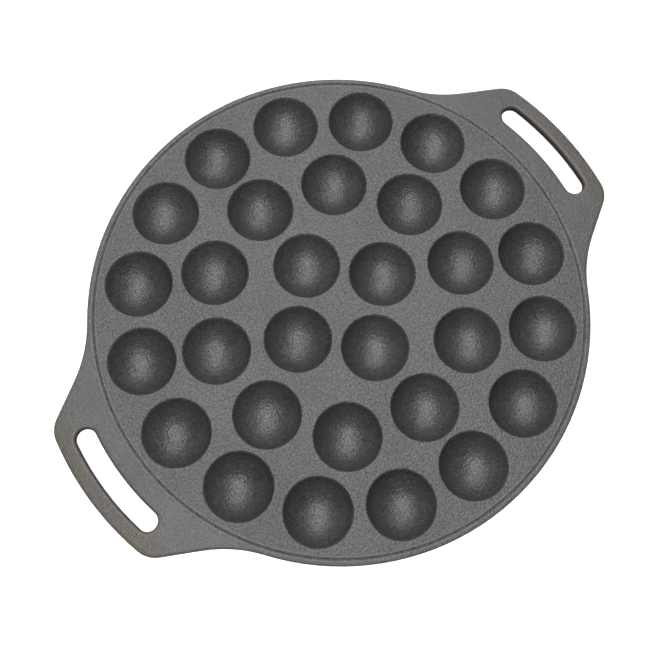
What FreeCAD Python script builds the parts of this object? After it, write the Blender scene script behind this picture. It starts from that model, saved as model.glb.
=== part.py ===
import FreeCAD, Part
import Sketcher
import math
import os

# A cast-iron poffertjes pan: one round casting with two loop handles and
# three rings of small round hollows. Millimetres, +Z up. The origin is on the
# pan's axis, in the plane that the flats under the hollows rest on, and X
# runs along the handles.

SIZES = [
    ("hollow_opening", 40.2, "diameter of a hollow in the plate's top"),
    ("hollow_depth", 16, "from the plate's top to a hollow's lowest point"),
    ("mouth_rounding", 1.2, "rounded mouth of a hollow"),
    ("inner_ring_count", 4, "hollows in the inner ring"),
    ("inner_land", 5.6, "between two hollows of the inner ring"),
    ("side_land", 6.8, "least room between two hollows of a wider ring, along it"),
    ("middle_land", 5.3, "between the hollows of the inner and the middle ring"),
    ("outer_land", 2.9, "between the hollows of the middle and the outer ring"),
    ("rim_land", 8.9, "from the outer hollows to the widest line of the disc"),
    ("plate_thickness", 5, "flat metal between the hollows"),
    ("edge_thickness", 7, "rim and handles, top to bottom"),
    ("edge_rounding", 2.4, "outer edge of rim and handles"),
    ("rim_rise", 0.4, "rim and handles stand this far above the plate"),
    ("rim_width", 3.5, "from the foot of the raised rim to the edge"),
    ("rim_slope", 0.5, "run of the short step up to the rim"),
    ("gutter_width", 1.3, "narrow gutter at the foot of the raised rim"),
    ("gutter_depth", 0.45, "deepest point of the gutter"),
    ("bead_width", 9, "thick bead under the rim"),
    ("bead_slope", 1.2, "run of the bead's inner wall"),
    ("dome_wall", 4, "metal round a hollow"),
    ("floor_wall", 3.5, "metal between a hollow and the surface below"),
    ("stand_width", 10, "flat that a dome stands on, across"),
    ("dome_fillet", 3, "cast radius where a dome leaves the plate"),
    ("skirt_angle", 30, "degrees at which that radius meets the plate"),
    ("handle_reach", 31.5, "from the widest line of the disc to a handle's tip"),
    ("handle_width", 92.4, "over the handle's corners, before rounding"),
    ("handle_flare", 30, "degrees between a handle's side and X"),
    ("handle_corner", 16, "radius of the handle's corners"),
    ("handle_blend", 80, "radius where a handle's side runs into the rim"),
    ("grip_width", 9.9, "bar that the fingers close on"),
    ("slot_width", 11.8, "finger slot, across"),
    ("slot_half_angle", 10.2, "degrees from X to the centre of a slot's end"),
    ("slot_rounding", 2.5, "edges of the finger slot"),
]

Z_UP = FreeCAD.Vector(0, 0, 1)
PAN_AXIS = FreeCAD.Vector(0, 0, 0)


class Size:
    """A size as a number, with the sheet formula that gives it."""

    def __init__(self, value, formula):
        self.value = float(value)
        self.formula = formula

    @staticmethod
    def of(other):
        return other if isinstance(other, Size) else Size(other, str(other))

    def __add__(self, other):
        other = Size.of(other)
        return Size(self.value + other.value, f"({self.formula} + {other.formula})")

    def __sub__(self, other):
        other = Size.of(other)
        return Size(self.value - other.value, f"({self.formula} - {other.formula})")

    def __mul__(self, other):
        other = Size.of(other)
        return Size(self.value * other.value, f"({self.formula} * {other.formula})")

    def __truediv__(self, other):
        other = Size.of(other)
        return Size(self.value / other.value, f"({self.formula} / {other.formula})")

    def squared(self):
        return self * self


def root(size):
    return Size(math.sqrt(size.value), f"sqrt({size.formula})")


def least(first, second):
    return Size(min(first.value, second.value), f"min({first.formula}; {second.formula})")


def sine(size):
    return Size(math.sin(math.radians(size.value)), f"sin({size.formula})")


def cosine(size):
    return Size(math.cos(math.radians(size.value)), f"cos({size.formula})")


def whole(size):
    return Size(math.floor(size.value), f"floor({size.formula})")


ZERO = Size(0, "0")
FULL_TURN = Size(2 * math.pi, "(2 * pi)")

# The first hollow of the outer and inner rings is on X, that of the middle
# ring on Y, which sets the rings' hollows into each other's gaps.
RINGS = (("outer", "XZ_Plane"), ("middle", "YZ_Plane"), ("inner", "XZ_Plane"))


def write_sheet(doc):
    """Put the driving sizes in the sheet and return them by name."""
    sheet = doc.addObject("Spreadsheet::Sheet", "sizes")
    for row, (name, value, note) in enumerate(SIZES, start=1):
        sheet.set(f"A{row}", name)
        sheet.set(f"B{row}", str(value))
        sheet.set(f"C{row}", note)
        sheet.setAlias(f"B{row}", name)
    doc.recompute()
    return {name: Size(sheet.get(name), f"sizes.{name}") for name, _, _ in SIZES}


def add_derived(size):
    """Add the levels, and the plan from the axis outwards.

    The hollows of the inner ring set its radius. Each wider ring lies one land
    further out and holds as many hollows as its length has room for. The disc
    ends one land outside the last ring, and the handles reach on from there.
    """
    size["plate_top"] = size["hollow_depth"] + size["floor_wall"]
    size["plate_underside"] = size["plate_top"] - size["plate_thickness"]
    size["rim_top"] = size["plate_top"] + size["rim_rise"]
    size["edge_bottom"] = size["rim_top"] - size["edge_thickness"]

    opening = size["hollow_opening"]
    half_step = Size.of(180) / size["inner_ring_count"]
    inner = (opening + size["inner_land"]) / (sine(half_step) * 2)
    middle = inner + opening + size["middle_land"]
    outer = middle + opening + size["outer_land"]
    size["inner_ring_radius"] = inner
    size["middle_ring_radius"] = middle
    size["outer_ring_radius"] = outer
    pitch = opening + size["side_land"]
    size["middle_ring_count"] = whole(middle * FULL_TURN / pitch)
    size["outer_ring_count"] = whole(outer * FULL_TURN / pitch)
    size["disc_radius"] = outer + opening / 2 + size["rim_land"]
    size["tip_radius"] = size["disc_radius"] + size["handle_reach"]


def origin_part(body, role):
    return next(part for part in body.Origin.OriginFeatures if part.Role == role)


def new_sketch(body, name, plane, height=None):
    """A sketch on one of the body's own planes, lifted to a height if given."""
    sketch = body.newObject("Sketcher::SketchObject", name)
    sketch.AttachmentSupport = [(origin_part(body, plane), "")]
    sketch.MapMode = "FlatFace"
    if height is not None:
        sketch.setExpression("AttachmentOffset.Base.z", height.formula)
    return sketch


def constrain(sketch, kind, *where, size=None):
    """Add a constraint and bind it to its sheet formula."""
    if size is None:
        return sketch.addConstraint(Sketcher.Constraint(kind, *where))
    value = math.radians(size.value) if kind == "Angle" else size.value
    index = sketch.addConstraint(Sketcher.Constraint(kind, *where, value))
    sketch.setExpression(f"Constraints[{index}]", size.formula)
    return index


def arc(centre, radius, start, end):
    """An arc from one point to another, counter-clockwise."""
    first = math.atan2(start.y - centre.y, start.x - centre.x)
    last = math.atan2(end.y - centre.y, end.x - centre.x)
    return Part.ArcOfCircle(Part.Circle(centre, Z_UP, radius), first, last)


def arc_centre(start, end, radius, left):
    """Centre of the arc that joins two points, left or right of the way."""
    middle = (start + end) * 0.5
    along = end - start
    across = FreeCAD.Vector(-along.y, along.x, 0).normalize()
    reach = math.sqrt(radius ** 2 - (along.Length / 2) ** 2)
    return middle + across * (reach if left else -reach)


def draw_profile(sketch, corners):
    """Draw a closed profile, bound corner by corner.

    A corner is (x, y), or (x, y, radius, side) where an arc leads on to the
    next one and its centre lies on that side of the way.
    """
    points = [FreeCAD.Vector(corner[0].value, corner[1].value, 0) for corner in corners]
    ends = []
    for index, corner in enumerate(corners):
        start, end = points[index], points[(index + 1) % len(points)]
        if len(corner) == 2:
            edge = sketch.addGeometry(Part.LineSegment(start, end), False)
            ends.append((edge, 1, 2))
            continue
        radius, left = corner[2], corner[3] == "left"
        centre = arc_centre(start, end, radius.value, left)
        if left:
            edge = sketch.addGeometry(arc(centre, radius.value, start, end), False)
            ends.append((edge, 1, 2))
        else:
            edge = sketch.addGeometry(arc(centre, radius.value, end, start), False)
            ends.append((edge, 2, 1))
        constrain(sketch, "Radius", edge, size=radius)
    for index, corner in enumerate(corners):
        edge, first, last = ends[index]
        following = ends[(index + 1) % len(ends)]
        constrain(sketch, "Coincident", edge, last, following[0], following[1])
        constrain(sketch, "DistanceX", -1, 1, edge, first, size=corner[0])
        constrain(sketch, "DistanceY", -1, 1, edge, first, size=corner[1])


def finish_feature(body, feature, name):
    """Name a feature, make it the body's tip and recompute."""
    feature.Label = name
    body.Tip = feature
    body.Document.recompute()
    return feature


def revolve(body, kind, name, sketch, axis):
    feature = body.newObject(f"PartDesign::{kind}", name)
    feature.Profile = sketch
    feature.ReferenceAxis = (sketch, [axis])
    feature.Angle = 360
    return finish_feature(body, feature, name)


def pattern_round(body, name, feature, count):
    """Repeat a feature evenly round the pan's axis."""
    pattern = body.newObject("PartDesign::PolarPattern", name)
    pattern.Originals = [feature]
    pattern.Axis = (origin_part(body, "Z_Axis"), [""])
    pattern.Angle = 360
    pattern.Occurrences = int(count.value)
    pattern.setExpression("Occurrences", count.formula)
    return finish_feature(body, pattern, name)


def fillet(body, name, base, edges, radius):
    feature = body.newObject("PartDesign::Fillet", name)
    feature.Base = (base, edges)
    feature.Radius = radius.value
    feature.setExpression("Radius", radius.formula)
    return finish_feature(body, feature, name)


def new_level_edges(after, before):
    """Names of the level edges that a feature added to the shape before it."""
    known = [edge.CenterOfMass for edge in before.Edges]
    names = []
    for number, edge in enumerate(after.Edges, start=1):
        middle = edge.CenterOfMass
        is_new = all(middle.distanceToPoint(other) > 0.01 for other in known)
        if is_new and edge.BoundBox.ZLength < 0.001:
            names.append(f"Edge{number}")
    return names


def angle_between(adjacent, hypotenuse):
    """Degrees between two sides of a right-angled triangle."""
    return math.degrees(math.acos(adjacent.value / hypotenuse.value))


def polar(distance, degrees):
    angle = math.radians(degrees)
    return FreeCAD.Vector(distance * math.cos(angle), distance * math.sin(angle), 0)


def draw_outline(sketch, size):
    """The plan of the casting: a disc with two flared handles, all tangent.

    Each handle has a tip arc about the pan's axis, two round corners, two
    straight sides that spread towards the disc, and two wide concave blends.
    """
    disc, tip = size["disc_radius"], size["tip_radius"]
    corner, blend = size["handle_corner"], size["handle_blend"]
    flare = size["handle_flare"]
    half_width = size["handle_width"] / 2
    half_length = root(tip.squared() - half_width.squared())
    side_reach = half_length * sine(flare) + half_width * cosine(flare)

    # Angles from X to the side's normal and to the centres of its two arcs.
    side_normal = 90 - flare.value
    corner_angle = side_normal - angle_between(side_reach - corner, tip - corner)
    blend_angle = side_normal - angle_between(side_reach + blend, disc + blend)

    def side_points(turn, sign):
        """Arc centres and joints of the side below or above a handle's middle."""
        normal = polar(1, turn + sign * side_normal)
        corner_centre = polar(tip.value - corner.value, turn + sign * corner_angle)
        blend_centre = polar(disc.value + blend.value, turn + sign * blend_angle)
        return {
            "on_tip": polar(tip.value, turn + sign * corner_angle),
            "corner_centre": corner_centre,
            "outer_end": corner_centre + normal * corner.value,
            "inner_end": blend_centre - normal * blend.value,
            "blend_centre": blend_centre,
            "on_disc": polar(disc.value, turn + sign * blend_angle),
        }

    loop = []
    headings = {}
    for turn in (0, 180):
        low, high = side_points(turn, -1), side_points(turn, 1)
        next_low = side_points(turn + 180, -1)
        headings[len(loop) + 1] = Size.of(turn) + flare
        headings[len(loop) + 5] = Size.of(180 - turn) - flare
        loop += [
            ("blend", arc(low["blend_centre"], blend.value, low["inner_end"], low["on_disc"])),
            ("side", Part.LineSegment(low["inner_end"], low["outer_end"])),
            ("corner", arc(low["corner_centre"], corner.value, low["outer_end"], low["on_tip"])),
            ("tip", arc(PAN_AXIS, tip.value, low["on_tip"], high["on_tip"])),
            ("corner", arc(high["corner_centre"], corner.value, high["on_tip"], high["outer_end"])),
            ("side", Part.LineSegment(high["outer_end"], high["inner_end"])),
            ("blend", arc(high["blend_centre"], blend.value, high["on_disc"], high["inner_end"])),
            ("disc", arc(PAN_AXIS, disc.value, high["on_disc"], next_low["on_disc"])),
        ]

    radii = {"blend": blend, "corner": corner, "tip": tip, "disc": disc}
    for index, (kind, geometry) in enumerate(loop):
        sketch.addGeometry(geometry, False)
        if kind == "side":
            constrain(sketch, "Angle", index, size=headings[index])
            constrain(sketch, "Distance", -1, 1, index, size=side_reach)
        else:
            constrain(sketch, "Radius", index, size=radii[kind])
        if kind in ("tip", "disc"):
            constrain(sketch, "Coincident", index, 3, -1, 1)
    for index, (kind, geometry) in enumerate(loop):
        following = (index + 1) % len(loop)
        leaves = 1 if kind == "blend" else 2
        enters = 2 if loop[following][0] == "blend" else 1
        constrain(sketch, "Tangent", index, leaves, following, enters)


def draw_slot(sketch, size):
    """A finger slot: two arcs about the pan's axis, joined by round ends."""
    outer = size["tip_radius"] - size["grip_width"]
    inner = outer - size["slot_width"]
    middle = (outer + inner) / 2
    end_radius = (size["slot_width"] / 2).value
    half_angle = size["slot_half_angle"]

    def at(radius, sign):
        return polar(radius.value, sign * half_angle.value)

    sketch.addGeometry(arc(PAN_AXIS, outer.value, at(outer, -1), at(outer, 1)), False)
    sketch.addGeometry(arc(at(middle, 1), end_radius, at(outer, 1), at(inner, 1)), False)
    sketch.addGeometry(arc(PAN_AXIS, inner.value, at(inner, -1), at(inner, 1)), False)
    sketch.addGeometry(arc(at(middle, -1), end_radius, at(inner, -1), at(outer, -1)), False)
    sketch.addGeometry(Part.LineSegment(PAN_AXIS, at(middle, 1)), True)
    sketch.addGeometry(Part.LineSegment(PAN_AXIS, at(middle, -1)), True)
    constrain(sketch, "Tangent", 0, 2, 1, 1)
    constrain(sketch, "Tangent", 1, 2, 2, 2)
    constrain(sketch, "Tangent", 2, 1, 3, 1)
    constrain(sketch, "Tangent", 3, 2, 0, 1)
    for wall, radius in ((0, outer), (2, inner)):
        constrain(sketch, "Coincident", wall, 3, -1, 1)
        constrain(sketch, "Radius", wall, size=radius)
    for ray, end, sign in ((4, 1, 1), (5, 3, -1)):
        constrain(sketch, "Coincident", ray, 1, -1, 1)
        constrain(sketch, "Coincident", ray, 2, end, 3)
        constrain(sketch, "Angle", ray, size=half_angle * sign)


def make_slab(body, size):
    """Rim and handles as one thick slab, with rounded edges and finger slots."""
    outline = new_sketch(body, "outline", "XY_Plane", size["edge_bottom"])
    draw_outline(outline, size)
    slab = body.newObject("PartDesign::Pad", "slab")
    slab.Profile = outline
    slab.setExpression("Length", size["edge_thickness"].formula)
    finish_feature(body, slab, "slab")
    edges = [f"Edge{number}" for number, edge in enumerate(slab.Shape.Edges, start=1)
             if edge.BoundBox.ZLength < 0.001]
    # The rounding stops short of the rim's inner step, so the crest keeps a flat.
    crest_wall = (size["rim_width"] - size["rim_slope"]) * 0.9
    rounding = least(size["edge_rounding"], crest_wall)
    rounded = fillet(body, "outer_edges", slab, edges, rounding)

    slot_outline = new_sketch(body, "slot_outline", "XY_Plane", size["rim_top"])
    draw_slot(slot_outline, size)
    slot = body.newObject("PartDesign::Pocket", "slot")
    slot.Profile = slot_outline
    slot.Type = "ThroughAll"
    finish_feature(body, slot, "slot")
    slots = pattern_round(body, "slots", slot, Size(2, "2"))
    edges = new_level_edges(slots.Shape, rounded.Shape)
    return fillet(body, "slot_edges", slots, edges, size["slot_rounding"])


def hollow_sphere(size):
    """Radius of the sphere that a hollow is cut from, and its centre's height."""
    mouth = size["hollow_opening"] / 2
    depth = size["hollow_depth"]
    radius = (mouth.squared() + depth.squared()) / (depth * 2)
    return radius, size["plate_top"] - depth + radius


def make_bead(body, size):
    """Thin the plate from below, which leaves a thick bead under the rim."""
    bead_foot = size["disc_radius"] - size["bead_width"]
    edge_bottom, plate_underside = size["edge_bottom"], size["plate_underside"]
    below = edge_bottom - size["edge_thickness"]
    sketch = new_sketch(body, "underside_profile", "XZ_Plane")
    draw_profile(sketch, [
        (ZERO, below),
        (bead_foot, below),
        (bead_foot, edge_bottom),
        (bead_foot - size["bead_slope"], plate_underside),
        (ZERO, plate_underside),
    ])
    return revolve(body, "Groove", "underside", sketch, "V_Axis")


def make_rim(body, size):
    """Lower the top inside the rim, with a narrow gutter at the rim's foot."""
    plate_top, rim_top = size["plate_top"], size["rim_top"]
    foot = size["disc_radius"] - size["rim_width"]
    crest = foot + size["rim_slope"]
    gutter_start = foot - size["gutter_width"]
    chord, sag = size["gutter_width"] / 2, size["gutter_depth"]
    radius = (chord.squared() + sag.squared()) / (sag * 2)
    above = rim_top + size["edge_thickness"]
    sketch = new_sketch(body, "top_profile", "XZ_Plane")
    draw_profile(sketch, [
        (ZERO, plate_top),
        (gutter_start, plate_top, radius, "left"),
        (foot, plate_top),
        (crest, rim_top),
        (crest, above),
        (ZERO, above),
    ])
    return revolve(body, "Groove", "top", sketch, "V_Axis")


def ring_sketch(body, name, plane, centre_distance):
    """A sketch through a hollow, with that hollow's upright axis in it."""
    sketch = new_sketch(body, name, plane)
    x = centre_distance.value
    sketch.addGeometry(Part.LineSegment(FreeCAD.Vector(x, 0, 0), FreeCAD.Vector(x, 1, 0)), True)
    constrain(sketch, "DistanceX", -1, 1, 0, 1, size=centre_distance)
    constrain(sketch, "DistanceY", -1, 1, 0, 1, size=ZERO)
    constrain(sketch, "Vertical", 0)
    constrain(sketch, "DistanceY", 0, 1, 0, 2, size=Size(1, "1"))
    return sketch


def make_domes(body, size, ring, plane):
    """A ring of domes below the plate, each with a flat to stand on."""
    plate_underside = size["plate_underside"]
    outside = hollow_sphere(size)[0] + size["dome_wall"]
    cast_radius = size["dome_fillet"]
    middle = size[f"{ring}_ring_radius"]
    flat = size["stand_width"] / 2
    centre_height = root(outside.squared() - flat.squared())

    # The cast radius is tangent to the dome and meets the plate at an angle.
    fillet_height = plate_underside - cast_radius * cosine(size["skirt_angle"])
    fillet_rise = centre_height - fillet_height
    reach = outside + cast_radius
    fillet_middle = root(reach.squared() - fillet_rise.squared())
    neck = outside / reach * fillet_middle
    neck_height = centre_height - outside / reach * fillet_rise
    skirt = fillet_middle - cast_radius * sine(size["skirt_angle"])
    inside_plate = plate_underside + size["plate_thickness"] / 2

    sketch = ring_sketch(body, f"{ring}_dome_profile", plane, middle)
    draw_profile(sketch, [
        (middle, ZERO),
        (middle + flat, ZERO, outside, "left"),
        (middle + neck, neck_height, cast_radius, "right"),
        (middle + skirt, plate_underside),
        (middle + skirt, inside_plate),
        (middle, inside_plate),
    ])
    dome = revolve(body, "Revolution", f"{ring}_dome", sketch, "Axis0")
    return pattern_round(body, f"{ring}_domes", dome, size[f"{ring}_ring_count"])


def make_hollows(body, size, ring, plane):
    """A ring of round hollows, each cut by the lower half of a ball."""
    radius, centre_height = hollow_sphere(size)
    middle = size[f"{ring}_ring_radius"]
    sketch = ring_sketch(body, f"{ring}_hollow_profile", plane, middle)
    draw_profile(sketch, [
        (middle, size["floor_wall"], radius, "left"),
        (middle + radius, centre_height),
        (middle, centre_height),
    ])
    hollow = revolve(body, "Groove", f"{ring}_hollow", sketch, "Axis0")
    return pattern_round(body, f"{ring}_hollows", hollow, size[f"{ring}_ring_count"])


def make_pan(doc, size):
    """The whole casting as one body."""
    body = doc.addObject("PartDesign::Body", "pan")
    body.Label = "pan"
    make_slab(body, size)
    make_bead(body, size)
    for ring, plane in RINGS:
        make_domes(body, size, ring, plane)
    smooth_top = make_rim(body, size)
    for ring, plane in RINGS:
        hollowed = make_hollows(body, size, ring, plane)
    edges = new_level_edges(hollowed.Shape, smooth_top.Shape)
    fillet(body, "mouth_edges", hollowed, edges, size["mouth_rounding"])
    return body


def check_document(doc):
    """Stop if any feature failed or left no valid shape."""
    for part in doc.Objects:
        if "Invalid" in part.State or "Error" in part.State:
            raise RuntimeError(f"{part.Label} failed: {part.State}")


def write_node(body):
    shape = body.Shape
    if shape.isNull() or not shape.isValid() or len(shape.Solids) != 1:
        raise RuntimeError(f"{body.Label} is not one valid solid")
    os.makedirs("parts", exist_ok=True)
    shape.exportStep(f"parts/{body.Label}.step")


def main():
    doc = FreeCAD.newDocument("poffertjes_pan")
    size = write_sheet(doc)
    add_derived(size)
    body = make_pan(doc, size)
    doc.recompute()
    check_document(doc)
    write_node(body)


main()
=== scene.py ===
import math

import bmesh
import bpy
from bpy.props import FloatProperty, FloatVectorProperty, IntProperty, PointerProperty
from bpy.types import Operator, Panel, PropertyGroup
from mathutils import Matrix, Vector


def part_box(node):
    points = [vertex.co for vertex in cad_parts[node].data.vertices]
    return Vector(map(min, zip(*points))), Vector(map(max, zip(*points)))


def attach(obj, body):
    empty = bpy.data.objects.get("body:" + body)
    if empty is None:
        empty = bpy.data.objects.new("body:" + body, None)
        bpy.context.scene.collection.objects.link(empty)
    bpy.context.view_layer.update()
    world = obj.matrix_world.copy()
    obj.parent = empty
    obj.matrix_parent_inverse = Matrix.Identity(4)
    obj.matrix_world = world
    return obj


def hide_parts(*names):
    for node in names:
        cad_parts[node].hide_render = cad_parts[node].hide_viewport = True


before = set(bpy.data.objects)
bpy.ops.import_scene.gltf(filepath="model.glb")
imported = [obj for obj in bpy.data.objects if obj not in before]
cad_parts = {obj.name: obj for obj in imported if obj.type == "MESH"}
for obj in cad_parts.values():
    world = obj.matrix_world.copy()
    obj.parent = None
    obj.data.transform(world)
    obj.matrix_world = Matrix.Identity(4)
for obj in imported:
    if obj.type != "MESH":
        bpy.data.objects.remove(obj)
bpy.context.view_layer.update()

bl_info = {
    "name": "Poffertjes Pan",
    "version": (1, 0, 0),
    "blender": (4, 5, 0),
    "location": "3D View > Sidebar > Pan",
    "description": "Dresses the cast-iron poffertjes pan and lights it on a pale floor",
    "category": "Object",
}

PAN_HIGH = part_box("pan")[1]
MILLIMETRE = 0.001

# Radii from the pan's axis, and the grips' distance along X, that the finish
# follows. Each pair says where a zone begins to show and where it shows in full.
PLATE_RADII = (143.6 * MILLIMETRE, 143.2 * MILLIMETRE)
SIDE_RADII = (140 * MILLIMETRE, 144 * MILLIMETRE)
OUTSIDE_RADII = (147.5 * MILLIMETRE, 150 * MILLIMETRE)
GRIP_REACH = (162 * MILLIMETRE, 172 * MILLIMETRE)

# The gutter beside the rim, and the two lips along it that are painted bright: partly wear,
# partly a painted highlight.
GROOVE_RADIUS = 145.85 * MILLIMETRE
GROOVE_HALF_WIDTH = 0.85 * MILLIMETRE
GROOVE_LIPS = (144.90 * MILLIMETRE, 147.15 * MILLIMETRE)
LIP_HALF_WIDTH = 0.9 * MILLIMETRE

# Depths below the plate, and how far the skin faces up (1 is flat, 0 upright),
# in such pairs too.
RIM_RISE = 0.4 * MILLIMETRE
PLATE_TOP = PAN_HIGH[2] - RIM_RISE
HOLLOW_DEPTHS = (0.4 * MILLIMETRE, 3.0 * MILLIMETRE)
MOUTH_DEPTHS = (1.4 * MILLIMETRE, 0.9 * MILLIMETRE)
GROOVE_DEPTHS = (0.02 * MILLIMETRE, 0.30 * MILLIMETRE)
LIP_DEPTHS = (0.25 * MILLIMETRE, 0.15 * MILLIMETRE)
FACES_UP = (-0.1, 0.1)
UPRIGHT = (0.75, 0.25)
MOUTH_SLOPE, MOUTH_SLOPE_RANGE = 0.92, 0.07

# Where nubs lie, and their sizes as shares of the nub radius.
NUBS_REACH = 142 * MILLIMETRE
LEAST_UPWARD = 0.4
NUB_SMALLEST = (0.35, 0.35, 0.15)
NUB_LARGEST = (1.0, 1.0, 0.40)

# Lightness that each pattern gives the iron, from its lowest to its highest.
PATCH_SHADES = ((0.47, 0.47, 0.47, 1), (0.53, 0.53, 0.525, 1))
FRECKLE_SHADES = (0.94, 1.06)
GRAIN_SHADES = (1.44, 2.64)
CALM_SHADE = 1.75

# How strongly each zone or pattern changes the finish.
PATCHES_PER_METRE = 28
HANDLED_LEAST = 0.3
# Lightening of the mouths and lips: partly wear, partly a painted highlight.
WEAR_AND_HIGHLIGHT = 0.5
# Darkening of the gutter and of upright walls: painted shade.
GUTTER_SHADE = 0.60
SIDE_SHADE = 0.88
OUTSIDE_CALM = 0.6
FRECKLE_ROUGHNESS = 0.10
HOLLOW_ROUGHNESS = -0.16
SIDE_ROUGHNESS = 0.28
PLATE_BUMP = 0.95
HOLLOW_BUMP = -0.56
OUTSIDE_BUMP = -0.45

# The camera of the photograph, in the frame of the pan: X runs along the
# handles and Z points up.
LENS = 49.85
SENSOR = 36.0
CAMERA_PLACE = (-0.10667, -0.10101, 0.54531)
CAMERA_TURN = math.radians(44.86)
CAMERA_TILT = math.radians(14.51)
CAMERA_ROLL = math.radians(-6.16)

FLOOR_GLOW = 0.9
WARMER, WARM = (1.0, 0.96, 0.90), (1.0, 0.99, 0.98)
COOL, COOLER = (0.90, 0.95, 1.0), (0.72, 0.85, 1.0)
# Name, place in the photograph's axes, size, setting with the watts, colour.
LAMPS = (
    ("far_softbox", (0, 0.48, 0.62), (0.40, 0.20), "far_softbox", WARM),
    ("side_softbox", (-0.17, 0.08, 0.64), (0.15, 0.15), "side_softbox", WARM),
    ("front_softbox", (0.01, -0.21, 0.63), (0.10, 0.10), "front_softbox", WARMER),
    ("far_strip", (0, 1.30, 0.40), (1.8, 0.35), "strips", COOL),
    ("left_strip", (-1.30, 0, 0.47), (1.2, 0.35), "strips", COOL),
    ("near_strip", (0, -1.30, 0.47), (1.2, 0.35), "strips", COOLER),
)


class PanSizes(PropertyGroup):
    """Sizes of the as-cast skin."""

    longest_edge: FloatProperty(
        name="Longest edge", description="Longest mesh edge on the flat parts of the skin",
        default=4 * MILLIMETRE, unit="LENGTH", min=0.001)
    weld: FloatProperty(
        name="Weld", description="Vertices nearer than this become one",
        default=0.002 * MILLIMETRE, unit="LENGTH", precision=6)
    unevenness: FloatProperty(
        name="Unevenness", description="Deepest hollow that the sand mould left in the skin",
        default=0.14 * MILLIMETRE, unit="LENGTH", precision=6)
    unevenness_width: FloatProperty(
        name="Unevenness width", description="Usual distance between two such hollows",
        default=16 * MILLIMETRE, unit="LENGTH", precision=4)
    sharp_angle: FloatProperty(
        name="Sharp angle", description="Edges that turn by more than this stay crisp",
        default=math.radians(25), subtype="ANGLE")
    nub_density: FloatProperty(
        name="Nubs", description="Grains of metal left on a square metre of the skin",
        default=1500, min=0)
    nub_radius: FloatProperty(
        name="Nub radius", description="Radius of the widest grain of metal",
        default=0.55 * MILLIMETRE, unit="LENGTH", precision=6)
    seed: IntProperty(
        name="Seed", description="Changes the pattern of the cast skin", default=7)


class PanColours(PropertyGroup):
    """Colours and finish of the cast iron."""

    iron: FloatVectorProperty(
        name="Iron", description="Seasoned iron on the plate, rim and handles",
        subtype="COLOR", size=3, min=0, max=1, default=(0.150, 0.151, 0.154))
    # Darker colour inside the hollows: painted shade of the recesses.
    hollow: FloatVectorProperty(
        name="Hollow", description="Darker iron inside the hollows",
        subtype="COLOR", size=3, min=0, max=1, default=(0.090, 0.090, 0.092))
    handled: FloatVectorProperty(
        name="Handled", description="Brownish iron where hands hold the grips",
        subtype="COLOR", size=3, min=0, max=1, default=(0.152, 0.137, 0.122))
    # Lighter colour on the mouths and gutter lips: partly wear, partly a painted highlight.
    wear_and_highlight: FloatVectorProperty(
        name="Worn", description="Iron rubbed bright beside the gutter and on the mouths",
        subtype="COLOR", size=3, min=0, max=1, default=(0.260, 0.258, 0.255))
    # Dark colour in the pits is burnt oil; in the gutter and on upright walls it is painted
    # shade.
    residue_and_shade: FloatVectorProperty(
        name="Residue", description="Burnt oil in the gutter, in pits and on upright walls",
        subtype="COLOR", size=3, min=0, max=1, default=(0.028, 0.027, 0.026))
    gloss_roughness: FloatProperty(
        name="Roughness", description="Roughness of the seasoned skin",
        subtype="FACTOR", min=0, max=1, default=0.64)
    metal_share: FloatProperty(
        name="Metal", description="How much bare metal shines through the seasoning",
        subtype="FACTOR", min=0, max=1, default=0.6)
    grain_depth: FloatProperty(
        name="Grain depth", description="Height of the grain that the sand leaves",
        default=0.9 * MILLIMETRE, unit="LENGTH", precision=6)
    grains_per_metre: FloatProperty(
        name="Grains", description="Grains of sand along a metre of the skin",
        default=820, min=1)


class StageSettings(PropertyGroup):
    """Floor, lamps and camera."""

    floor_size: FloatProperty(
        name="Floor size", description="Side of the square floor",
        default=4.0, unit="LENGTH")
    floor_colour: FloatVectorProperty(
        name="Floor colour", description="Pale studio floor",
        subtype="COLOR", size=3, min=0, max=1, default=(0.6, 0.6, 0.6))
    far_softbox: FloatProperty(
        name="Far softbox", description="Watts of the softbox over the pan's far edge",
        default=2.9, min=0)
    side_softbox: FloatProperty(
        name="Side softbox", description="Watts of the softbox over the pan's left side",
        default=1.1, min=0)
    front_softbox: FloatProperty(
        name="Front softbox", description="Watts of the softbox beside the camera",
        default=2.7, min=0)
    strips: FloatProperty(
        name="Strips", description="Watts of each of the three low strip lights",
        default=1.7, min=0)
    fill: FloatProperty(
        name="Fill", description="Strength of the even light from all round",
        default=0.04, min=0)


def link_nodes(tree, *links):
    """Make each link that a pair of sockets names."""
    for source, target in links:
        tree.links.new(source, target)


def new_node(tree, kind, place=(0, 0), **settings):
    """A node of a kind, with its settings."""
    node = tree.nodes.new(kind)
    node.location = place
    for name, value in settings.items():
        setattr(node, name, value)
    return node


def plug(tree, target, source):
    """Feed a socket from another socket, or set it to a plain value."""
    if isinstance(source, bpy.types.NodeSocket):
        tree.links.new(source, target)
    else:
        target.default_value = source


def calculate(tree, operation, *terms):
    """A Math node on sockets or plain numbers."""
    node = new_node(tree, "ShaderNodeMath", operation=operation)
    for socket, term in zip(node.inputs, terms):
        plug(tree, socket, term)
    return node.outputs[0]


def ramp(tree, source, start, end):
    """A smooth step from 0 at start to 1 at end."""
    node = new_node(tree, "ShaderNodeMapRange", interpolation_type="SMOOTHSTEP")
    plug(tree, node.inputs["Value"], source)
    node.inputs["From Min"].default_value = start
    node.inputs["From Max"].default_value = end
    return node.outputs["Result"]


def band(tree, source, middle, half_width):
    """1 at a middle value, falling smoothly to 0 at half a width on either side."""
    away = calculate(tree, "ABSOLUTE", calculate(tree, "SUBTRACT", source, middle))
    return ramp(tree, away, half_width, 0)


def both(tree, *masks):
    """Where all masks hold: their product."""
    product = masks[0]
    for mask in masks[1:]:
        product = calculate(tree, "MULTIPLY", product, mask)
    return product


def grey(level):
    """An opaque grey."""
    return (level, level, level, 1)


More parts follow.
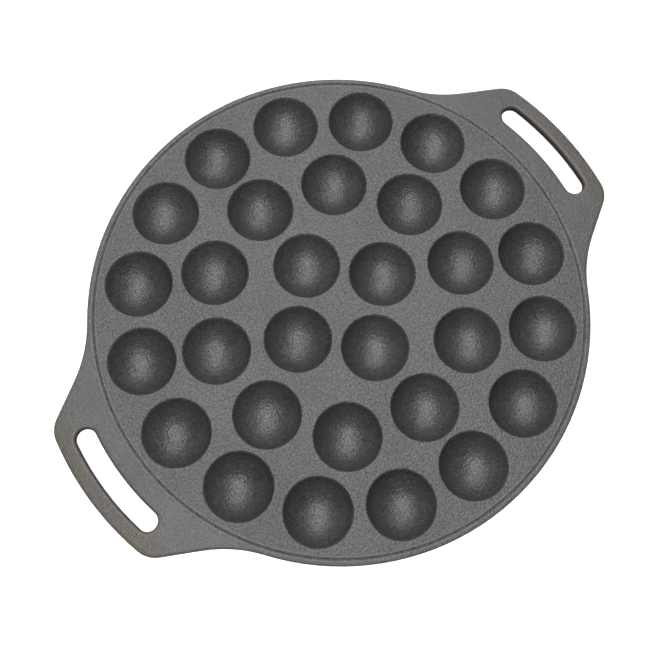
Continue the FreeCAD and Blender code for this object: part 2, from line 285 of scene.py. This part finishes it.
def blend_colour(tree, factor, first, second, mode="MIX"):
    """A Mix node for colours; its sockets 0, 6 and 7 are factor, first and second."""
    node = new_node(tree, "ShaderNodeMix", data_type="RGBA", blend_type=mode)
    plug(tree, node.inputs[0], factor)
    plug(tree, node.inputs[6], first)
    plug(tree, node.inputs[7], second)
    return node.outputs[2]


def noise(tree, vector, scale, detail=2.0, roughness=0.5):
    """A cloudy pattern from 0 to 1."""
    node = new_node(tree, "ShaderNodeTexNoise")
    plug(tree, node.inputs["Vector"], vector)
    plug(tree, node.inputs["Scale"], scale)
    node.inputs["Detail"].default_value = detail
    node.inputs["Roughness"].default_value = roughness
    return node.outputs["Fac"]


def camera_axes():
    """Right, up and backward axes of the photograph's camera."""
    tilt_up = Vector((0, math.cos(CAMERA_TILT), math.sin(CAMERA_TILT)))
    back = Vector((0, -math.sin(CAMERA_TILT), math.cos(CAMERA_TILT)))
    side = Vector((1, 0, 0))
    cos_roll, sin_roll = math.cos(CAMERA_ROLL), math.sin(CAMERA_ROLL)
    right = cos_roll * side - sin_roll * tilt_up
    up = sin_roll * side + cos_roll * tilt_up
    turn = Matrix.Rotation(-CAMERA_TURN, 3, "Z")
    return turn @ right, turn @ up, turn @ back


def from_photo_axes(x, y, z):
    """A place given with X to the photograph's right and Y to its top."""
    return Matrix.Rotation(-CAMERA_TURN, 3, "Z") @ Vector((x, y, z))


def socket_id(tree, name):
    """Identifier of a tree's input, which a modifier is set by."""
    return next(item.identifier for item in tree.interface.items_tree
                if item.name == name and item.in_out == "INPUT")


def add_nubs(tree, start, skin, place):
    """Scatter flat grains of metal over the plate and the hollows."""
    axes = new_node(tree, "ShaderNodeSeparateXYZ")
    plug(tree, axes.inputs[0], place.outputs["Position"])
    x, y, _ = axes.outputs
    reach = calculate(tree, "ADD", calculate(tree, "MULTIPLY", x, x),
                      calculate(tree, "MULTIPLY", y, y))
    within = new_node(tree, "FunctionNodeCompare", operation="LESS_THAN")
    plug(tree, within.inputs["A"], reach)
    within.inputs["B"].default_value = NUBS_REACH ** 2
    normal = new_node(tree, "GeometryNodeInputNormal")
    tilt = new_node(tree, "ShaderNodeSeparateXYZ")
    plug(tree, tilt.inputs[0], normal.outputs["Normal"])
    upward = new_node(tree, "FunctionNodeCompare", operation="GREATER_THAN")
    plug(tree, upward.inputs["A"], tilt.outputs["Z"])
    upward.inputs["B"].default_value = LEAST_UPWARD
    where = new_node(tree, "FunctionNodeBooleanMath", operation="AND")
    plug(tree, where.inputs[0], within.outputs["Result"])
    plug(tree, where.inputs[1], upward.outputs["Result"])

    scatter = new_node(tree, "GeometryNodeDistributePointsOnFaces")
    plug(tree, scatter.inputs["Mesh"], skin)
    plug(tree, scatter.inputs["Selection"], where.outputs["Boolean"])
    plug(tree, scatter.inputs["Density"], start.outputs["Nub Density"])
    plug(tree, scatter.inputs["Seed"], start.outputs["Seed"])
    nub = new_node(tree, "GeometryNodeMeshUVSphere")
    nub.inputs["Segments"].default_value = 8
    nub.inputs["Rings"].default_value = 4
    plug(tree, nub.inputs["Radius"], start.outputs["Nub Radius"])
    size = new_node(tree, "FunctionNodeRandomValue", data_type="FLOAT_VECTOR")
    size.inputs[0].default_value = NUB_SMALLEST
    size.inputs[1].default_value = NUB_LARGEST
    plug(tree, size.inputs["Seed"], start.outputs["Seed"])
    copies = new_node(tree, "GeometryNodeInstanceOnPoints")
    plug(tree, copies.inputs["Points"], scatter.outputs["Points"])
    plug(tree, copies.inputs["Instance"], nub.outputs["Mesh"])
    plug(tree, copies.inputs["Rotation"], scatter.outputs["Rotation"])
    plug(tree, copies.inputs["Scale"], size.outputs["Value"])
    return copies.outputs["Instances"]


def cast_skin_tree():
    """Geometry Nodes: weld a shell, dent it inwards as a sand mould does, smooth it."""
    tree = bpy.data.node_groups.new("cast_skin", "GeometryNodeTree")
    face = tree.interface
    for label, kind in (
            ("Geometry", "Geometry"), ("Weld", "Float"), ("Unevenness", "Float"),
            ("Unevenness Width", "Float"), ("Sharp Angle", "Float"), ("Nub Density", "Float"),
            ("Nub Radius", "Float"), ("Seed", "Int"), ("Material", "Material")):
        face.new_socket(label, in_out="INPUT", socket_type=f"NodeSocket{kind}")
    face.new_socket("Geometry", in_out="OUTPUT", socket_type="NodeSocketGeometry")

    start = new_node(tree, "NodeGroupInput", (-1200, 0))
    weld = new_node(tree, "GeometryNodeMergeByDistance", (-900, 100))
    place = new_node(tree, "GeometryNodeInputPosition", (-1200, -400))
    density = new_node(tree, "ShaderNodeMath", (-1000, -300), operation="DIVIDE")
    density.inputs[0].default_value = 1.0
    swell = new_node(tree, "ShaderNodeTexNoise", (-800, -300), noise_dimensions="4D")
    swell.inputs["Detail"].default_value = 2.0
    swell.inputs["Roughness"].default_value = 0.45
    depth = new_node(tree, "ShaderNodeMath", (-600, -300), operation="MULTIPLY")
    inwards = new_node(tree, "ShaderNodeMath", (-450, -300), operation="MULTIPLY")
    inwards.inputs[1].default_value = -1.0
    normal = new_node(tree, "GeometryNodeInputNormal", (-600, -500))
    offset = new_node(tree, "ShaderNodeVectorMath", (-300, -300), operation="SCALE")
    dent = new_node(tree, "GeometryNodeSetPosition", (-100, 100))
    smooth = new_node(tree, "GeometryNodeSetShadeSmooth", (100, 100))
    bend = new_node(tree, "GeometryNodeInputMeshEdgeAngle", (-100, -200))
    is_sharp = new_node(tree, "FunctionNodeCompare", (0, -200), operation="GREATER_THAN")
    crease = new_node(tree, "GeometryNodeSetShadeSmooth", (200, 100), domain="EDGE")
    crease.inputs["Shade Smooth"].default_value = False
    nubs = add_nubs(tree, start, crease.outputs["Geometry"], place)
    joined = new_node(tree, "GeometryNodeJoinGeometry", (250, 100))
    realize = new_node(tree, "GeometryNodeRealizeInstances", (300, 100))
    paint = new_node(tree, "GeometryNodeSetMaterial", (500, 100))
    end = new_node(tree, "NodeGroupOutput", (700, 100))
    link_nodes(
        tree,
        (start.outputs["Geometry"], weld.inputs["Geometry"]),
        (start.outputs["Weld"], weld.inputs["Distance"]),
        (start.outputs["Unevenness Width"], density.inputs[1]),
        (place.outputs["Position"], swell.inputs["Vector"]),
        (density.outputs["Value"], swell.inputs["Scale"]),
        (start.outputs["Seed"], swell.inputs["W"]),
        (swell.outputs["Fac"], depth.inputs[0]),
        (start.outputs["Unevenness"], depth.inputs[1]),
        (depth.outputs["Value"], inwards.inputs[0]),
        (normal.outputs["Normal"], offset.inputs[0]),
        (inwards.outputs["Value"], offset.inputs["Scale"]),
        (weld.outputs["Geometry"], dent.inputs["Geometry"]),
        (offset.outputs["Vector"], dent.inputs["Offset"]),
        (dent.outputs["Geometry"], smooth.inputs["Geometry"]),
        (bend.outputs["Unsigned Angle"], is_sharp.inputs["A"]),
        (start.outputs["Sharp Angle"], is_sharp.inputs["B"]),
        (smooth.outputs["Geometry"], crease.inputs["Geometry"]),
        (is_sharp.outputs["Result"], crease.inputs["Selection"]),
        (crease.outputs["Geometry"], joined.inputs["Geometry"]),
        (nubs, joined.inputs["Geometry"]),
        (joined.outputs["Geometry"], realize.inputs["Geometry"]),
        (realize.outputs["Geometry"], paint.inputs["Geometry"]),
        (start.outputs["Material"], paint.inputs["Material"]),
        (paint.outputs["Geometry"], end.inputs["Geometry"]),
    )
    return tree


def split_long_edges(mesh, longest, weld, passes=4):
    """Merge a shell, then halve the long edges of its flat areas a few times over."""
    shell = bmesh.new()
    shell.from_mesh(mesh)
    bmesh.ops.remove_doubles(shell, verts=shell.verts, dist=weld)
    for _ in range(passes):
        long_edges = [edge for edge in shell.edges if edge.calc_length() > longest]
        bmesh.ops.subdivide_edges(shell, edges=long_edges, cuts=1)
        bmesh.ops.triangulate(shell, faces=[f for f in shell.faces if len(f.verts) > 3])
    shell.to_mesh(mesh)
    shell.free()


def with_tree(piece, tree, values):
    """Run a Geometry Nodes tree on a piece and keep the plain mesh it makes."""
    modifier = piece.modifiers.new(tree.name, "NODES")
    modifier.node_group = tree
    for name, value in values.items():
        modifier[socket_id(tree, name)] = value
    level = piece.modifiers.new("level_normals", "WEIGHTED_NORMAL")
    level.keep_sharp = True
    depsgraph = bpy.context.evaluated_depsgraph_get()
    made = bpy.data.meshes.new_from_object(piece.evaluated_get(depsgraph))
    piece.modifiers.clear()
    piece.data = made


def new_group(name, inputs, outputs):
    """A shader node group with named sockets, and its first and last node."""
    tree = bpy.data.node_groups.new(name, "ShaderNodeTree")
    for label, kind in inputs:
        tree.interface.new_socket(label, in_out="INPUT", socket_type=f"NodeSocket{kind}")
    for label in outputs:
        tree.interface.new_socket(label, in_out="OUTPUT", socket_type="NodeSocketFloat")
    return tree, new_node(tree, "NodeGroupInput"), new_node(tree, "NodeGroupOutput")


def grain_group():
    """Height of the sand-cast grain: granules of two sizes, and how light each one is."""
    coarse_share, coarse_height, grit_height = 0.42, 0.6, -0.35
    light_range = (0.3, 0.7)
    tree, start, end = new_group(
        "sand_grain", (("Vector", "Vector"), ("Grains per metre", "Float")),
        ("Height", "Lightness"))
    vector, density = start.outputs["Vector"], start.outputs["Grains per metre"]
    fine = noise(tree, vector, density, detail=3.0, roughness=0.6)
    coarse = noise(tree, vector, calculate(tree, "MULTIPLY", density, coarse_share), detail=1.0)
    grit = new_node(tree, "ShaderNodeTexVoronoi", feature="F1")
    plug(tree, grit.inputs["Vector"], vector)
    plug(tree, grit.inputs["Scale"], density)
    height = calculate(tree, "MULTIPLY_ADD", grit.outputs["Distance"], grit_height, fine)
    height = calculate(tree, "MULTIPLY_ADD", coarse, coarse_height, height)
    plug(tree, end.inputs["Height"], height)
    plug(tree, end.inputs["Lightness"], ramp(tree, fine, *light_range))
    return tree


def zones_group():
    """Where a point lies: in a hollow or gutter, on an edge, side or grip, or past the rim."""
    tree, start, end = new_group(
        "pan_zones", (("Vector", "Vector"), ("Normal", "Vector")),
        ("Hollow", "Edge", "Gutter", "Grip", "Side", "Outside"))
    place = new_node(tree, "ShaderNodeSeparateXYZ")
    plug(tree, place.inputs[0], start.outputs["Vector"])
    slope = new_node(tree, "ShaderNodeSeparateXYZ")
    plug(tree, slope.inputs[0], start.outputs["Normal"])
    x, y, z = place.outputs
    radius = calculate(tree, "SQRT", calculate(
        tree, "ADD", calculate(tree, "MULTIPLY", x, x), calculate(tree, "MULTIPLY", y, y)))
    depth = calculate(tree, "SUBTRACT", PLATE_TOP, z)
    faces_up = ramp(tree, slope.outputs["Z"], *FACES_UP)
    inside = both(tree, faces_up, ramp(tree, radius, *PLATE_RADII))

    hollow = both(tree, inside, ramp(tree, depth, *HOLLOW_DEPTHS))
    edge = both(tree, band(tree, slope.outputs["Z"], MOUTH_SLOPE, MOUTH_SLOPE_RANGE),
                ramp(tree, depth, *MOUTH_DEPTHS))
    gutter = both(tree, faces_up, band(tree, radius, GROOVE_RADIUS, GROOVE_HALF_WIDTH),
                  ramp(tree, depth, *GROOVE_DEPTHS))
    for lip in GROOVE_LIPS:
        line = both(tree, faces_up, band(tree, radius, lip, LIP_HALF_WIDTH),
                    ramp(tree, depth, *LIP_DEPTHS))
        edge = calculate(tree, "MAXIMUM", edge, line)
    upright = ramp(tree, calculate(tree, "ABSOLUTE", slope.outputs["Z"]), *UPRIGHT)
    side = both(tree, upright, ramp(tree, radius, *SIDE_RADII))
    grip = ramp(tree, calculate(tree, "ABSOLUTE", x), *GRIP_REACH)
    outside = ramp(tree, radius, *OUTSIDE_RADII)
    for label, mask in (("Hollow", hollow), ("Edge", edge), ("Gutter", gutter),
                        ("Grip", grip), ("Side", side), ("Outside", outside)):
        plug(tree, end.inputs[label], mask)
    return tree


def seasoning_group():
    """How the seasoning varies: broad patches, small freckles and rare deep pits."""
    patch_range, freckle_range = (0.32, 0.68), (0.35, 0.70)
    freckles_per_patch, pits_per_patch = 9.0, 5.0
    pit_chance, pit_radii = (0.96, 0.98), (0.09, 0.05)
    tree, start, end = new_group(
        "seasoning", (("Vector", "Vector"), ("Patches per metre", "Float")),
        ("Patches", "Freckles", "Pits"))
    vector, density = start.outputs["Vector"], start.outputs["Patches per metre"]
    patches = noise(tree, vector, density, detail=4.0, roughness=0.55)
    freckle_density = calculate(tree, "MULTIPLY", density, freckles_per_patch)
    freckles = noise(tree, vector, freckle_density, detail=3.0, roughness=0.6)
    spots = new_node(tree, "ShaderNodeTexVoronoi", feature="F1")
    plug(tree, spots.inputs["Vector"], vector)
    plug(tree, spots.inputs["Scale"], calculate(tree, "MULTIPLY", density, pits_per_patch))
    chance = new_node(tree, "ShaderNodeSeparateColor")
    plug(tree, chance.inputs[0], spots.outputs["Color"])
    rare = ramp(tree, chance.outputs[0], *pit_chance)
    pits = both(tree, rare, ramp(tree, spots.outputs["Distance"], *pit_radii))
    plug(tree, end.inputs["Patches"], ramp(tree, patches, *patch_range))
    plug(tree, end.inputs["Freckles"], ramp(tree, freckles, *freckle_range))
    plug(tree, end.inputs["Pits"], pits)
    return tree


def iron_colour(tree, colours, zones, season, grain):
    """Colour of the iron: zones, oil patches, grain, wear and painted highlight, dirt in pits,
    painted shade.
    """
    def painted(colour):
        return (*colour, 1)

    # Inside the hollows the colour is darkened: painted shade of the recesses.
    colour = blend_colour(tree, zones.outputs["Hollow"], painted(colours.iron),
                          painted(colours.hollow))
    handled = both(tree, zones.outputs["Grip"],
                   calculate(tree, "MULTIPLY_ADD", season.outputs["Patches"],
                             1 - HANDLED_LEAST, HANDLED_LEAST))
    colour = blend_colour(tree, handled, colour, painted(colours.handled))
    patchy = blend_colour(tree, season.outputs["Patches"], *PATCH_SHADES)
    freckled = blend_colour(tree, season.outputs["Freckles"], *map(grey, FRECKLE_SHADES))
    grainy = blend_colour(tree, grain.outputs["Lightness"], *map(grey, GRAIN_SHADES))
    calm = calculate(tree, "MULTIPLY", zones.outputs["Outside"], OUTSIDE_CALM)
    grainy = blend_colour(tree, calm, grainy, grey(CALM_SHADE))
    for pattern in (patchy, freckled, grainy):
        colour = blend_colour(tree, 1.0, colour, pattern, "MULTIPLY")
    # Mouths and gutter lips are lightened: partly wear, partly a painted highlight.
    wear_and_highlight = calculate(tree, "MULTIPLY", zones.outputs["Edge"], WEAR_AND_HIGHLIGHT)
    colour = blend_colour(tree, wear_and_highlight, colour, painted(colours.wear_and_highlight))
    # The gutter and upright walls are darkened with painted shade; the pits hold burnt oil.
    wall_and_gutter_shade = calculate(tree, "MAXIMUM",
                      calculate(tree, "MULTIPLY", zones.outputs["Gutter"], GUTTER_SHADE),
                      calculate(tree, "MULTIPLY", zones.outputs["Side"], SIDE_SHADE))
    shade_and_pit_residue = calculate(tree, "MAXIMUM", wall_and_gutter_shade, season.outputs["Pits"])
    return blend_colour(tree, shade_and_pit_residue, colour, painted(colours.residue_and_shade))


def iron_material(colours):
    """Seasoned cast iron: one finish that follows the zones of the casting."""
    material = bpy.data.materials.new("seasoned_cast_iron")
    material.use_nodes = True
    tree = material.node_tree
    shader = tree.nodes["Principled BSDF"]
    shader.inputs["Metallic"].default_value = colours.metal_share

    where = new_node(tree, "ShaderNodeTexCoord")
    zones = new_node(tree, "ShaderNodeGroup", node_tree=zones_group())
    season = new_node(tree, "ShaderNodeGroup", node_tree=seasoning_group())
    grain = new_node(tree, "ShaderNodeGroup", node_tree=grain_group())
    for group in (zones, season, grain):
        plug(tree, group.inputs["Vector"], where.outputs["Object"])
    plug(tree, zones.inputs["Normal"], where.outputs["Normal"])
    season.inputs["Patches per metre"].default_value = PATCHES_PER_METRE
    grain.inputs["Grains per metre"].default_value = colours.grains_per_metre
    plug(tree, shader.inputs["Base Color"], iron_colour(tree, colours, zones, season, grain))

    rough = calculate(tree, "MULTIPLY_ADD", season.outputs["Freckles"], FRECKLE_ROUGHNESS,
                      colours.gloss_roughness - FRECKLE_ROUGHNESS / 2)
    rough = calculate(tree, "MULTIPLY_ADD", zones.outputs["Hollow"], HOLLOW_ROUGHNESS, rough)
    rough = calculate(tree, "MULTIPLY_ADD", zones.outputs["Side"], SIDE_ROUGHNESS, rough)
    plug(tree, shader.inputs["Roughness"], rough)

    height = calculate(tree, "MULTIPLY_ADD", season.outputs["Pits"], -1.0,
                       grain.outputs["Height"])
    relief = new_node(tree, "ShaderNodeBump")
    strength = calculate(tree, "MULTIPLY_ADD", zones.outputs["Hollow"], HOLLOW_BUMP,
                         PLATE_BUMP)
    plug(tree, relief.inputs["Strength"],
         calculate(tree, "MULTIPLY_ADD", zones.outputs["Outside"], OUTSIDE_BUMP, strength))
    relief.inputs["Distance"].default_value = colours.grain_depth
    plug(tree, relief.inputs["Height"], height)
    plug(tree, shader.inputs["Normal"], relief.outputs["Normal"])
    return material


class PAN_OT_casting(Operator):
    """Dress the casting: a welded copy of the solid with the skin a sand mould leaves"""

    bl_idname = "pan.casting"
    bl_label = "Casting"

    def execute(self, context):
        sizes = context.scene.pan_sizes
        colours = context.scene.pan_colours
        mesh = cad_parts["pan"].data.copy()
        piece = bpy.data.objects.new("pan_casting", mesh)
        context.scene.collection.objects.link(piece)
        split_long_edges(mesh, sizes.longest_edge, sizes.weld)
        mesh.materials.clear()
        with_tree(piece, cast_skin_tree(), {
            "Weld": sizes.weld,
            "Unevenness": sizes.unevenness,
            "Unevenness Width": sizes.unevenness_width,
            "Sharp Angle": sizes.sharp_angle,
            "Nub Density": sizes.nub_density,
            "Nub Radius": sizes.nub_radius,
            "Seed": sizes.seed,
            "Material": iron_material(colours),
        })
        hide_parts("pan")
        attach(piece, "root")
        return {"FINISHED"}


def floor_material(colour):
    """Pale floor that the camera and the metal see as white, with the pan's shadow kept."""
    material = bpy.data.materials.new("pale_floor")
    material.use_nodes = True
    tree = material.node_tree
    shader = tree.nodes["Principled BSDF"]
    shader.inputs["Base Color"].default_value = (*colour, 1)
    shader.inputs["Roughness"].default_value = 0.9
    shader.inputs["Specular IOR Level"].default_value = 0.0
    shader.inputs["Emission Color"].default_value = (1, 1, 1, 1)
    path = new_node(tree, "ShaderNodeLightPath")
    seen = calculate(tree, "MAXIMUM", path.outputs["Is Camera Ray"],
                     path.outputs["Is Glossy Ray"])
    seen = calculate(tree, "MAXIMUM", seen, path.outputs["Is Transmission Ray"])
    plug(tree, shader.inputs["Emission Strength"], calculate(tree, "MULTIPLY", seen, FLOOR_GLOW))
    return material


def hang_lamp(scene, name, place, target, size, power, colour):
    """A rectangular lamp that faces the pan and that the camera doesn't see."""
    light = bpy.data.lights.new(name, "AREA")
    light.shape = "RECTANGLE"
    light.size, light.size_y = size
    light.energy = power
    light.color = colour
    lamp = bpy.data.objects.new(name, light)
    lamp.location = place
    lamp.rotation_euler = (target - place).to_track_quat("-Z", "Y").to_euler()
    lamp.visible_camera = False
    scene.collection.objects.link(lamp)


def lay_floor(scene, settings):
    """A square floor under the pan."""
    half = settings.floor_size / 2
    mesh = bpy.data.meshes.new("floor")
    mesh.from_pydata([(-half, -half, 0), (half, -half, 0), (half, half, 0), (-half, half, 0)],
                     [], [(0, 1, 2, 3)])
    mesh.materials.append(floor_material(settings.floor_colour))
    floor = bpy.data.objects.new("floor", mesh)
    scene.collection.objects.link(floor)


def fill_world(scene, strength):
    """Even white light from all round."""
    world = bpy.data.worlds.new("studio")
    world.use_nodes = True
    background = world.node_tree.nodes["Background"]
    background.inputs["Strength"].default_value = strength
    background.inputs["Color"].default_value = (1, 1, 1, 1)
    scene.world = world


def set_camera(scene):
    """The photograph's camera."""
    camera = bpy.data.objects.new("photo_camera", bpy.data.cameras.new("photo_camera"))
    camera.data.lens = LENS
    camera.data.sensor_width = SENSOR
    camera.data.sensor_fit = "HORIZONTAL"
    turn = Matrix(camera_axes()).transposed().to_4x4()
    camera.matrix_world = Matrix.Translation(CAMERA_PLACE) @ turn
    scene.collection.objects.link(camera)
    scene.camera = camera


class PAN_OT_stage(Operator):
    """Lay the pale floor, hang the soft lamps and set the photograph's camera"""

    bl_idname = "pan.stage"
    bl_label = "Stage"

    def execute(self, context):
        scene = context.scene
        settings = scene.pan_stage
        lay_floor(scene, settings)
        fill_world(scene, settings.fill)
        centre = Vector((0, 0, PLATE_TOP))
        for name, place, size, watts, colour in LAMPS:
            hang_lamp(scene, name, from_photo_axes(*place), centre, size,
                      getattr(settings, watts), colour)
        set_camera(scene)
        scene.view_settings.view_transform = "Standard"
        return {"FINISHED"}


class PAN_PT_sidebar(Panel):
    """Sizes, colours and stage of the poffertjes pan"""

    bl_label = "Poffertjes Pan"
    bl_idname = "PAN_PT_sidebar"
    bl_space_type = "VIEW_3D"
    bl_region_type = "UI"
    bl_category = "Pan"

    def draw(self, context):
        scene = context.scene
        for group in (scene.pan_sizes, scene.pan_colours, scene.pan_stage):
            box = self.layout.box()
            for name in group.__annotations__:
                box.prop(group, name)
        self.layout.operator(PAN_OT_casting.bl_idname)
        self.layout.operator(PAN_OT_stage.bl_idname)


CLASSES = (PanSizes, PanColours, StageSettings, PAN_OT_casting, PAN_OT_stage, PAN_PT_sidebar)


def register():
    for item in CLASSES:
        bpy.utils.register_class(item)
    bpy.types.Scene.pan_sizes = PointerProperty(type=PanSizes)
    bpy.types.Scene.pan_colours = PointerProperty(type=PanColours)
    bpy.types.Scene.pan_stage = PointerProperty(type=StageSettings)


def unregister():
    del bpy.types.Scene.pan_stage
    del bpy.types.Scene.pan_colours
    del bpy.types.Scene.pan_sizes
    for item in reversed(CLASSES):
        bpy.utils.unregister_class(item)


def main():
    register()
    bpy.ops.pan.casting()
    bpy.ops.pan.stage()


if __name__ == "__main__":
    main()
